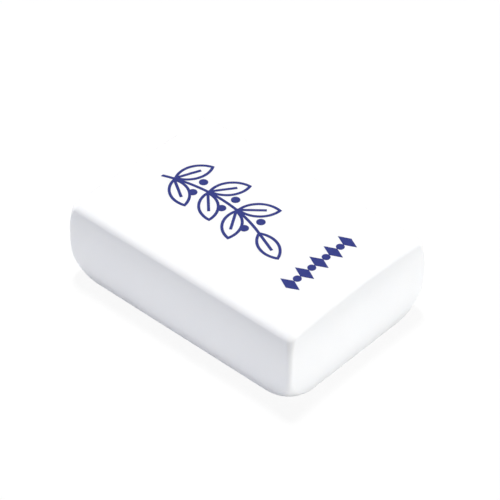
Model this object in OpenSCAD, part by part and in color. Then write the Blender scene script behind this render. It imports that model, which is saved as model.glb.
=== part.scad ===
// Soft rubber eraser: one white cushion-shaped block, with a blue print on its crowned top.
// The origin is the middle of the base, +X runs along the block and +Z is up, in millimetres.

/* [Block] */
// Length at the waist, the widest level
length = 41; // [36:0.5:60]
// Width at the waist
width = 27.8; // [25:0.2:40]
// Height from the base to the crest of the top
height = 12.8; // [10:0.1:20]
// How far the top falls from its crest, along the middle, to the planes of the long sides
crown = 0.5; // [0.1:0.1:1.5]

/* [Walls] */
// How far the ends lean in from the waist to the rim
end_lean = 0.3; // [0:0.05:1.5]
// How far the middle of each end is drawn in at the rim, past the lean at its corners
end_hollow = 0.4; // [0:0.05:1]
// How far the long sides lean in from the waist to the rim
side_lean = 0.45; // [0:0.05:1.5]
// How late the walls lean in above the waist: a higher power keeps them flat for longer
lean_power = 3; // [2:0.1:5]
// How far the ends draw in from the waist to the base
end_tuck = 0.15; // [0:0.05:1.5]
// How far the long sides draw in from the waist to the base
side_tuck = 0.5; // [0:0.05:1.5]
// How late the walls draw in below the waist
tuck_power = 2; // [2:0.1:5]

/* [Edges] */
// Radius of the rim round the top
rim_r = 0.7; // [0.5:0.1:2]
// Radius of the edge round the base
base_r = 0.9; // [0.5:0.1:2.5]

/* [Corners] */
// Plan radius of the upright corners at the waist, where they are crisp
corner_waist_r = 0.6; // [0.3:0.1:2]
// Plan radius of the corners at the rim
corner_rim_r = 1.2; // [0.6:0.1:4]
// Plan radius of the corners at the base
corner_base_r = 5.8; // [2:0.1:9]
// How late the corners open out: a higher power keeps them crisp for longer
corner_power = 3.4; // [1:0.1:6]

/* [Print] */
// Thickness of the ink
ink_t = 0.05; // [0.02:0.01:0.2]
// Width of the drawn lines
line_w = 0.42; // [0.3:0.02:0.8]
// Bare margin between the print and each end of the block
print_margin = 5.6; // [4:0.2:8]
// Length of one leaf of the sprig
leaf_l = 6.2; // [4:0.1:7]
// Width of one leaf of the sprig
leaf_w = 3.1; // [2:0.1:4]
// Angle between a leaf and the stem
leaf_angle = 50; // [30:1:60]
// Least distance between two pairs of leaves along the stem
leaf_pitch = 5; // [4.5:0.1:9]
// Bare stalk before the first pair of leaves
stalk_l = 1.8; // [0:0.1:4]
// Radius of the curve of the stem
stem_r = 24; // [20:1:60]
// Diameter of the berries
berry_d = 1.3; // [0.8:0.1:2]
// Size across of one lozenge of the border, along the block
lozenge_l = 3.4; // [2:0.1:4]
// Size across of one lozenge of the border, across the block
lozenge_w = 1.7; // [1:0.1:2.4]
// Distance between the lozenges
lozenge_pitch = 2.9; // [2.6:0.1:4]
// Length of the border, across the block
border_w = 14.4; // [8:0.2:16]
// Bare gap between the sprig and the border
border_gap = 2.2; // [1:0.1:4]

/* [Hidden] */

white = "#F5F5F5";
ink_blue = "#3B438A";

// Fineness of the block's faces
corner_steps = 10;
crown_steps = 6;
wall_steps = 7;
edge_steps = 7;

// Fineness of the circles in the print
leaf_sides = 96;
stem_sides = 180;
dot_sides = 32;

// How far a vein reaches along its leaf
vein_share = 2 / 3;
// Where the berries sit on the stem, from one pair of leaves to the next
berry_share = 0.7;

rim_z = height - crown;
waist_z = rim_z / 2;

function half_length(z) = length / 2 - inset(z, end_lean, end_tuck);
function half_width(z) = width / 2 - inset(z, side_lean, side_tuck);

// 0 at the waist, 1 at the rim and -1 at the base
function level(z) = z / waist_z - 1;

// How far a rounded edge has drawn in, past the depth d below the end of its arc
function arc_inset(r, d) = r - sqrt(r * r - pow(max(0, r - d), 2));

// How far the outline at height z lies inside the one at the waist
function inset(z, lean, tuck) = arc_inset(rim_r, rim_z - z) + arc_inset(base_r, z)
    + (z > waist_z ? lean * lean_share(z) : tuck * pow(-level(z), tuck_power));

// How much of the lean the walls have reached at height z: none up to the waist and all at the rim
function lean_share(z) = pow(max(0, level(z)), lean_power);

function corner_r(z) = corner_waist_r
    + ((z > waist_z ? corner_rim_r : corner_base_r) - corner_waist_r) * pow(abs(level(z)), corner_power);

// Places of the points along the straight end of an outline, as shares of it
end_shares = [for (i = [1 - crown_steps : crown_steps - 1]) i / crown_steps];

// One half of the outline at height z, from the front to the back round the +X end
function end_outline(z) =
    let (
        r = corner_r(z),
        x = half_length(z) - r,
        y = half_width(z) - r,
        arc = [for (i = [0 : corner_steps]) 90 * i / corner_steps]
    )
    concat(
        [for (a = arc) [x + r * sin(a), -y - r * cos(a)]],
        [for (share = end_shares) [x + r - end_hollow * lean_share(z) * (1 - share * share), y * share]],
        [for (a = arc) [x + r * cos(a), y + r * sin(a)]]
    );

// The crown lifts the levels above the waist, most along the middle and not at all on the long sides
function crown_lift(y) = crown * (1 - pow(y * 2 / width, 2));
function lift(z, y) = max(0, level(z)) * crown_lift(y);

function ring(z) =
    let (half = end_outline(z), last = len(half) - 1)
    concat(
        [for (p = half) [p.x, p.y, z + lift(z, p.y)]],
        [for (i = [last : -1 : 0]) [-half[i].x, half[i].y, z + lift(z, half[i].y)]]
    );

levels = concat(
    [for (i = [0 : edge_steps]) base_r * (1 - cos(90 * i / edge_steps))],
    [for (i = [1 : wall_steps]) base_r + (waist_z - base_r) * i / wall_steps],
    [for (i = [1 : wall_steps - 1]) waist_z + (rim_z - rim_r - waist_z) * i / wall_steps],
    [for (i = [0 : edge_steps]) rim_z - rim_r * (1 - sin(90 * i / edge_steps))]
);

// The block is lofted through one ring of points at each level
module body() {
    rings = [for (z = levels) ring(z)];
    around = len(rings[0]);
    half = around / 2;
    top = (len(levels) - 1) * around;
    walls = [
        for (i = [0 : len(levels) - 2], k = [0 : around - 1])
            let (a = i * around + k, b = i * around + (k + 1) % around)
            each [[a, a + around, b], [b, a + around, b + around]]
    ];
    base_face = [for (k = [0 : around - 1]) k];
    top_strips = [
        for (k = [0 : half - 2])
            [top + k, top + around - 1 - k, top + around - 2 - k, top + k + 1]
    ];
    color(white)
        polyhedron(points = [for (r = rings) each r], faces = concat(walls, [base_face], top_strips));
}

// A pointed leaf with its stalk end at the origin and its tip along +X, drawn in by gap all round
module leaf_field(gap = 0) {
    r = (pow(leaf_l, 2) + pow(leaf_w, 2)) / (4 * leaf_w);
    intersection_for (side = [-1, 1])
        translate([leaf_l / 2, side * (r - leaf_w / 2)])
            circle(r = r - gap, $fn = leaf_sides);
}

// An outlined leaf with a vein along part of it
module leaf() {
    difference() {
        leaf_field();
        leaf_field(line_w);
    }
    translate([0, -line_w / 2])
        square([leaf_l * vein_share, line_w]);
}

sprig_start = -length / 2 + print_margin;
border_x = length / 2 - print_margin - lozenge_l / 2;
sprig_end = border_x - lozenge_l / 2 - border_gap;
sprig_l = sprig_end - sprig_start;

// The stem is an arc of the circle round stem_centre, and ends where the last leaf begins
stem_half = (sprig_l - leaf_l) / 2;
stem_turn = asin(stem_half / stem_r) * 2;
stem_sag = stem_r * (1 - cos(stem_turn / 2));
stem_centre = [sprig_start + stem_half, stem_sag / 2 - stem_r];
stalk_turn = stalk_l / stem_r * 180 / PI;
pair_count = floor(stem_r * (stem_turn - stalk_turn) * PI / 180 / leaf_pitch);
pair_turn = (stem_turn - stalk_turn) / pair_count;

// Puts its children on the stem, turn degrees from its start, with +X along the stem
module on_stem(turn) {
    a = 90 + stem_turn / 2 - turn;
    translate(stem_centre + stem_r * [cos(a), sin(a)])
        rotate(a - 90)
            children();
}

module stem() {
    translate(stem_centre)
        intersection() {
            difference() {
                circle(r = stem_r + line_w / 2, $fn = stem_sides);
                circle(r = stem_r - line_w / 2, $fn = stem_sides);
            }
            translate([-stem_half, 0])
                square([stem_half * 2, stem_r + line_w]);
        }
}

// A curved sprig with pairs of outlined leaves, one leaf at its tip, and berries between the pairs
module sprig() {
    stem();
    for (i = [0 : pair_count - 1]) {
        on_stem(stalk_turn + pair_turn * i)
            for (side = [-1, 1])
                rotate(side * leaf_angle)
                    leaf();
        on_stem(stalk_turn + pair_turn * (i + berry_share))
            for (side = [-1, 1])
                translate([0, side * berry_d])
                    circle(d = berry_d, $fn = dot_sides);
    }
    on_stem(stem_turn)
        leaf();
}

// A straight row of lozenges with a dot between each two
module border() {
    gaps = floor((border_w - lozenge_w) / lozenge_pitch);
    for (i = [0 : gaps]) {
        y = (i - gaps / 2) * lozenge_pitch;
        polygon([
            [border_x - lozenge_l / 2, y],
            [border_x, y - lozenge_w / 2],
            [border_x + lozenge_l / 2, y],
            [border_x, y + lozenge_w / 2]
        ]);
        if (i < gaps)
            translate([border_x, y + lozenge_pitch / 2])
                circle(d = lozenge_pitch - lozenge_w, $fn = dot_sides);
    }
}

// A layer of even thickness on the crowned top, with the same steps across as the block's own faces
module top_layer(thickness) {
    reach = half_width(rim_z) - corner_r(rim_z);
    under = [for (share = end_shares) [reach * share, rim_z + crown_lift(reach * share)]];
    over = [for (i = [len(under) - 1 : -1 : 0]) under[i] + [0, thickness]];
    rotate([90, 0, 90])
        linear_extrude(length, center = true)
            polygon(concat(under, over));
}

// The ink lies on the top and follows its crown
module print() {
    color(ink_blue)
        intersection() {
            top_layer(ink_t);
            linear_extrude(height + crown) {
                sprig();
                border();
            }
        }
}

body();
print();
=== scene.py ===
import math

import bpy
from mathutils import Matrix, Vector


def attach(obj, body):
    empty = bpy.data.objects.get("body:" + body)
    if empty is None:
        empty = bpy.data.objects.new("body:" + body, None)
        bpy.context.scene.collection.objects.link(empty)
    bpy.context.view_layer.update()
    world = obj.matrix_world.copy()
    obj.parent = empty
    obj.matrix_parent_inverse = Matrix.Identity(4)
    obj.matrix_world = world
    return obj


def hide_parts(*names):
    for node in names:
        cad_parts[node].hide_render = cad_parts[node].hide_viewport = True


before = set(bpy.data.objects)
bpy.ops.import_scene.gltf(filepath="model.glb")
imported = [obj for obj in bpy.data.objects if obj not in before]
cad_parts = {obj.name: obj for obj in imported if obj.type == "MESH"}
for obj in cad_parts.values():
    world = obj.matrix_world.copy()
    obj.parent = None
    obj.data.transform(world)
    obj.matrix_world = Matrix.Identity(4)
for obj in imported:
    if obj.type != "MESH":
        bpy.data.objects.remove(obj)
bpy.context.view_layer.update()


# The block. The real one is a single piece of soft white rubber, moulded in the form of a cushion and tumbled
# until its edges are round. Its skin is matt, with a very fine even grain, and a little light goes into it.
# The mesh is the CAD block's own, merged into one smooth closed surface.

MM = 0.001
MERGE_DISTANCE = 0.001 * MM

bpy.ops.object.select_all(action="DESELECT")
block = bpy.data.objects.new("eraser_block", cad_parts["body"].data.copy())
bpy.context.collection.objects.link(block)
block.select_set(True)
bpy.context.view_layer.objects.active = block
bpy.ops.object.mode_set(mode="EDIT")
bpy.ops.mesh.select_all(action="SELECT")
bpy.ops.mesh.remove_doubles(threshold=MERGE_DISTANCE)
bpy.ops.object.mode_set(mode="OBJECT")
bpy.ops.object.shade_smooth()

# Large faces set the normals, so the flat parts shade flat up to where the roundings begin
even_normals = block.modifiers.new("even_normals", "WEIGHTED_NORMAL")
even_normals.mode = "FACE_AREA"
bpy.ops.object.modifier_apply(modifier=even_normals.name)


def linear(srgb_hex):
    """An sRGB hex colour as the linear colour, with alpha, that the shaders take."""
    channels = [int(srgb_hex[i:i + 2], 16) / 255 for i in (1, 3, 5)]
    return [c / 12.92 if c <= 0.04045 else ((c + 0.055) / 1.055) ** 2.4 for c in channels] + [1]


def bare_material(name):
    """A new material without any nodes."""
    material = bpy.data.materials.new(name)
    material.use_nodes = True
    material.node_tree.nodes.clear()
    return material


def add_node(material, kind, links=(), inputs=(), **settings):
    """Adds one node. links maps its inputs, by name or place, to other sockets, and inputs to values."""
    node = material.node_tree.nodes.new(kind)
    for name, value in settings.items():
        setattr(node, name, value)
    for name, value in dict(inputs).items():
        node.inputs[name].default_value = value
    for name, socket in dict(links).items():
        material.node_tree.links.new(socket, node.inputs[name])
    return node


# Soft vinyl rubber, moulded and tumbled: to the eye it is matt and white, with a soft wide sheen and no
# sharp highlight. Its clouds are a slight unevenness of the white. The real grain is too fine to show, so it
# is drawn about as coarse as a pixel of the photograph.
RUBBER_WHITE = "#F5F5F5"
RUBBER_SHADE = "#F2F2F3"
RUBBER_IOR = 1.50
RUBBER_ROUGHNESS = 0.75
RUBBER_SPECULAR = 0.25
RUBBER_CLOUD_MM = 9
RUBBER_GRAIN_MM = 0.12
RUBBER_GRAIN_DEPTH_MM = 0.004

# How many finer layers each pattern has, and how much they count
CLOUD_LAYERS = 3
CLOUD_CRISPNESS = 0.5
GRAIN_LAYERS = 2
GRAIN_CRISPNESS = 0.6

# The share of the light that goes into the rubber, how far it gets, and red's, green's and blue's part of that
RUBBER_GLOW = 0.1
RUBBER_GLOW_MM = 0.4
RUBBER_GLOW_REACH = (1, 0.9, 0.8)

# Places of a colour mix's two colours among its inputs, and of the mixed colour among its outputs
COLOUR_A = 6
COLOUR_B = 7
COLOUR_OUT = 2

rubber = bare_material("moulded_white_vinyl_rubber")
place = add_node(rubber, "ShaderNodeTexCoord")
cloud = add_node(
    rubber, "ShaderNodeTexNoise",
    links={"Vector": place.outputs["Object"]},
    inputs={"Scale": 1 / (RUBBER_CLOUD_MM * MM), "Detail": CLOUD_LAYERS, "Roughness": CLOUD_CRISPNESS},
)
white = add_node(
    rubber, "ShaderNodeMix",
    links={"Factor": cloud.outputs["Fac"]},
    inputs={COLOUR_A: linear(RUBBER_WHITE), COLOUR_B: linear(RUBBER_SHADE)},
    data_type="RGBA",
)
grain = add_node(
    rubber, "ShaderNodeTexNoise",
    links={"Vector": place.outputs["Object"]},
    inputs={"Scale": 1 / (RUBBER_GRAIN_MM * MM), "Detail": GRAIN_LAYERS, "Roughness": GRAIN_CRISPNESS},
)
grain_bump = add_node(
    rubber, "ShaderNodeBump",
    links={"Height": grain.outputs["Fac"]},
    inputs={"Distance": RUBBER_GRAIN_DEPTH_MM * MM},
)
rubber_shader = add_node(
    rubber, "ShaderNodeBsdfPrincipled",
    links={"Base Color": white.outputs[COLOUR_OUT], "Normal": grain_bump.outputs["Normal"]},
    inputs={
        "Roughness": RUBBER_ROUGHNESS,
        "IOR": RUBBER_IOR,
        "Specular IOR Level": RUBBER_SPECULAR,
        "Subsurface Weight": RUBBER_GLOW,
        "Subsurface Radius": RUBBER_GLOW_REACH,
        "Subsurface Scale": RUBBER_GLOW_MM * MM,
    },
)
add_node(rubber, "ShaderNodeOutputMaterial", links={"Surface": rubber_shader.outputs["BSDF"]})

block.data.materials.clear()
block.data.materials.append(rubber)
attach(block, "root")
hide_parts("body")


# The print. The real one is a thin layer of blue ink, stamped by a soft pad that follows the crowned top.
# The CAD solids are its true outlines, so they stay, and only their finish is made here.

# Pad-printed ink: to the eye it is a deep matt blue, with a faint mottle where the layer is thinner
INK_BLUE = "#353B7C"
INK_THIN = "#3D4486"
INK_IOR = 1.50
INK_ROUGHNESS = 0.8
INK_SPECULAR = 0.05
INK_MOTTLE_MM = 0.5
MOTTLE_LAYERS = 3
MOTTLE_CRISPNESS = 0.6

ink = bare_material("pad_printed_blue_ink")
place = add_node(ink, "ShaderNodeTexCoord")
mottle = add_node(
    ink, "ShaderNodeTexNoise",
    links={"Vector": place.outputs["Object"]},
    inputs={"Scale": 1 / (INK_MOTTLE_MM * MM), "Detail": MOTTLE_LAYERS, "Roughness": MOTTLE_CRISPNESS},
)
blue = add_node(
    ink, "ShaderNodeMix",
    links={"Factor": mottle.outputs["Fac"]},
    inputs={COLOUR_A: linear(INK_BLUE), COLOUR_B: linear(INK_THIN)},
    data_type="RGBA",
)
ink_shader = add_node(
    ink, "ShaderNodeBsdfPrincipled",
    links={"Base Color": blue.outputs[COLOUR_OUT]},
    inputs={"Roughness": INK_ROUGHNESS, "IOR": INK_IOR, "Specular IOR Level": INK_SPECULAR},
)
add_node(ink, "ShaderNodeOutputMaterial", links={"Surface": ink_shader.outputs["BSDF"]})

ink_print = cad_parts["print"]
ink_print.data.materials.clear()
ink_print.data.materials.append(ink)


# The floor is a wide sheet of matt white card under the block. To the eye it is nearly plain white, and it
# keeps a faint part of the block's soft shadow.

FLOOR_SIZE = 4.0

bpy.ops.object.select_all(action="DESELECT")
bpy.ops.mesh.primitive_plane_add(size=FLOOR_SIZE, location=(0, 0, 0))
floor = bpy.context.object
floor.name = "floor"


def plain_sight(material):
    """1 where the camera sees the surface, also in a gloss or through glass, and 0 for other light."""
    ray = add_node(material, "ShaderNodeLightPath")
    direct = add_node(
        material, "ShaderNodeMath",
        links={0: ray.outputs["Is Camera Ray"], 1: ray.outputs["Is Glossy Ray"]},
        operation="MAXIMUM",
    )
    seen = add_node(
        material, "ShaderNodeMath",
        links={0: direct.outputs["Value"], 1: ray.outputs["Is Transmission Ray"]},
        operation="MAXIMUM",
    )
    return seen.outputs["Value"]


# Matt white card: white from all sides, with no gloss. Most of what the camera sees of it is the background's
# plain white, and the rest is the card itself, with the shadow.
CARD_WHITE = "#FDFDFD"
CARD_PLAIN_SHARE = 0.92
PLAIN_WHITE = "#FFFFFF"
PLAIN_STRENGTH = 1

card = bare_material("matt_white_card")
card_shader = add_node(card, "ShaderNodeBsdfDiffuse", inputs={"Color": linear(CARD_WHITE)})
plain_white = add_node(
    card, "ShaderNodeEmission",
    inputs={"Color": linear(PLAIN_WHITE), "Strength": PLAIN_STRENGTH},
)
plain_share = add_node(
    card, "ShaderNodeMath",
    links={0: plain_sight(card)},
    inputs={1: CARD_PLAIN_SHARE},
    operation="MULTIPLY",
)
card_mix = add_node(
    card, "ShaderNodeMixShader",
    links={
        0: plain_share.outputs["Value"],
        1: card_shader.outputs["BSDF"],
        2: plain_white.outputs["Emission"],
    },
)
add_node(card, "ShaderNodeOutputMaterial", links={"Surface": card_mix.outputs["Shader"]})

floor.data.materials.append(card)


# The light is a plain white studio. Each lamp is a wide soft one far away, and its level is what a white card
# that faces it shows, where 1 is white. The main one hangs nearly overhead, a little behind the block. The
# two others stand at its right and left, so low that the floor hides their lower halves.

def soft_lamp(name, toward, level, spread, srgb_hex):
    """toward points from the block to the lamp, and spread is its width in degrees, seen from the block."""
    lamp = bpy.data.lights.new(name, "SUN")
    lamp.energy = level * math.pi
    lamp.angle = math.radians(spread)
    lamp.color = linear(srgb_hex)[:3]
    holder = bpy.data.objects.new(name, lamp)
    bpy.context.collection.objects.link(holder)
    holder.rotation_euler = Vector(toward).to_track_quat("Z", "Y").to_euler()


soft_lamp("top_lamp", toward=(-0.19, 0.18, 0.965), level=1.08, spread=9, srgb_hex="#FFFFFF")
soft_lamp("right_lamp", toward=(0.97, 0.24, 0.02), level=0.84, spread=16, srgb_hex="#FCFEFF")
soft_lamp("left_lamp", toward=(-0.6, -0.8, 0.02), level=0.51, spread=16, srgb_hex="#EAEFFF")


# The room round the block is the background. The camera sees it as plain white, and it adds hardly any light
# of its own.

ROOM_LEVEL = 0.02

room = bpy.data.worlds.new("white_room")
room.use_nodes = True
room.node_tree.nodes.clear()
room_strength = add_node(
    room, "ShaderNodeMapRange",
    links={"Value": plain_sight(room)},
    inputs={"To Min": ROOM_LEVEL, "To Max": PLAIN_STRENGTH},
)
backdrop = add_node(
    room, "ShaderNodeBackground",
    links={"Strength": room_strength.outputs["Result"]},
    inputs={"Color": linear(PLAIN_WHITE)},
)
add_node(room, "ShaderNodeOutputWorld", links={"Surface": backdrop.outputs["Background"]})
bpy.context.scene.world = room


# The camera stands at the photograph's place: a long lens, above the block's front right corner. It looks past
# the middle of the block, a little to the right of it and above it.

CAMERA_AZIMUTH = 42.33
CAMERA_ELEVATION = 40.98
CAMERA_DISTANCE = 354.7 * MM
CAMERA_LENS_MM = 186.02
CAMERA_NEAR = 10 * MM
CAMERA_FAR = 100
AIM_RIGHT = 0.58 * MM
AIM_UP = 0.58 * MM
AIM_HEIGHT = 6.5 * MM

azimuth = math.radians(CAMERA_AZIMUTH)
elevation = math.radians(CAMERA_ELEVATION)
right = Vector((math.cos(azimuth), math.sin(azimuth), 0))
back = Vector((
    math.sin(azimuth) * math.cos(elevation),
    -math.cos(azimuth) * math.cos(elevation),
    math.sin(elevation),
))
up = back.cross(right)
middle = Vector((0, 0, AIM_HEIGHT))
stand = middle + right * AIM_RIGHT + up * AIM_UP + back * CAMERA_DISTANCE

camera = bpy.data.objects.new("camera", bpy.data.cameras.new("camera"))
bpy.context.collection.objects.link(camera)
camera.data.lens = CAMERA_LENS_MM
camera.data.clip_start = CAMERA_NEAR
camera.data.clip_end = CAMERA_FAR
camera.matrix_world = Matrix.Translation(stand) @ Matrix((right, up, back)).transposed().to_4x4()
bpy.context.scene.camera = camera
bpy.context.scene.view_settings.view_transform = "Standard"
